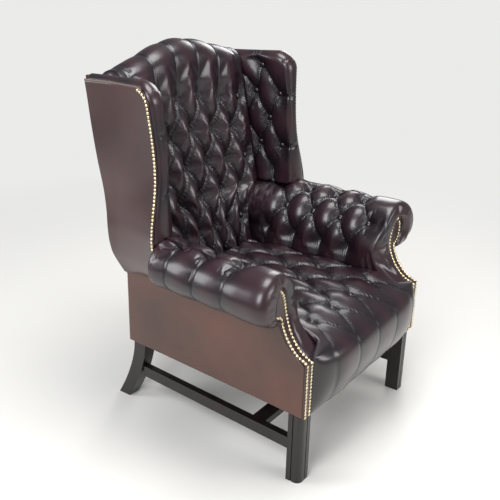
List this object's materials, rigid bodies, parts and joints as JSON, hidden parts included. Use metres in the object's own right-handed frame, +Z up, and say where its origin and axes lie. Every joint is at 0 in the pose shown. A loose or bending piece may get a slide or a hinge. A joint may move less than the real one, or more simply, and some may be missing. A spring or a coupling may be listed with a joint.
{
  "type": "wingback chair",
  "caption": "Deep-buttoned leather wingback chair with a camel back, rolled arms, brass nail trim, square wooden legs and an H of stretchers.",
  "frame": {"origin": "centre of the chair's footprint box, on the floor", "axes": "+Z up, the chair faces -Y, +X to the right as seen from in front"},
  "size_m": [0.864, 0.8339, 1.1037],
  "materials": {
    "leather_outside": "satin oxblood leather, smooth",
    "leather_buttoned": "glossy dark oxblood leather, deeply buttoned",
    "leather_button": "glossy dark oxblood leather",
    "leg_wood": "dark mahogany, satin polish",
    "frame_wood": "plain beech, unfinished",
    "nail_brass": "antique brass domes",
    "spring_steel": "bright drawn wire",
    "inner_cloth": "hessian and jute webbing",
    "dust_cloth": "black cotton"
  },
  "bodies": {
    "root": {"front_leg_left": "leg_wood", "front_leg_right": "leg_wood", "rear_leg_left": "leg_wood", "rear_leg_right": "leg_wood", "side_stretcher_left": "leg_wood", "side_stretcher_right": "leg_wood", "cross_stretcher": "leg_wood", "front_rail": "frame_wood", "back_rail": "frame_wood", "side_rail_left": "frame_wood", "side_rail_right": "frame_wood", "corner_blocks": "frame_wood", "crest_rail": "frame_wood", "lower_back_rail": "frame_wood", "arm_stump_left": "frame_wood", "arm_stump_right": "frame_wood", "arm_board_left": "frame_wood", "arm_board_right": "frame_wood", "arm_rail_left": "frame_wood", "arm_rail_right": "frame_wood", "wing_board_left": "frame_wood", "wing_board_right": "frame_wood", "frame_dowels": "frame_wood", "seat_springs": "spring_steel", "spring_clips": "spring_steel", "seat_hessian": "inner_cloth", "back_webbing": "inner_cloth", "dust_cover": "dust_cloth", "seat": "leather_buttoned", "inside_back": "leather_buttoned", "inside_wing_left": "leather_buttoned", "inside_wing_right": "leather_buttoned", "inside_arm_left": "leather_buttoned", "inside_arm_right": "leather_buttoned", "outside_back": "leather_outside", "side_panel_left": "leather_outside", "side_panel_right": "leather_outside", "outside_wing_left": "leather_outside", "outside_wing_right": "leather_outside", "arm_facing_left": "leather_outside", "arm_facing_right": "leather_outside", "seat_buttons": "leather_button", "back_buttons": "leather_button", "wing_buttons": "leather_button", "arm_buttons": "leather_button", "facing_nails_left": "nail_brass", "facing_nails_right": "nail_brass", "wing_nails_left": "nail_brass", "wing_nails_right": "nail_brass"}
  },
  "joints": []
}
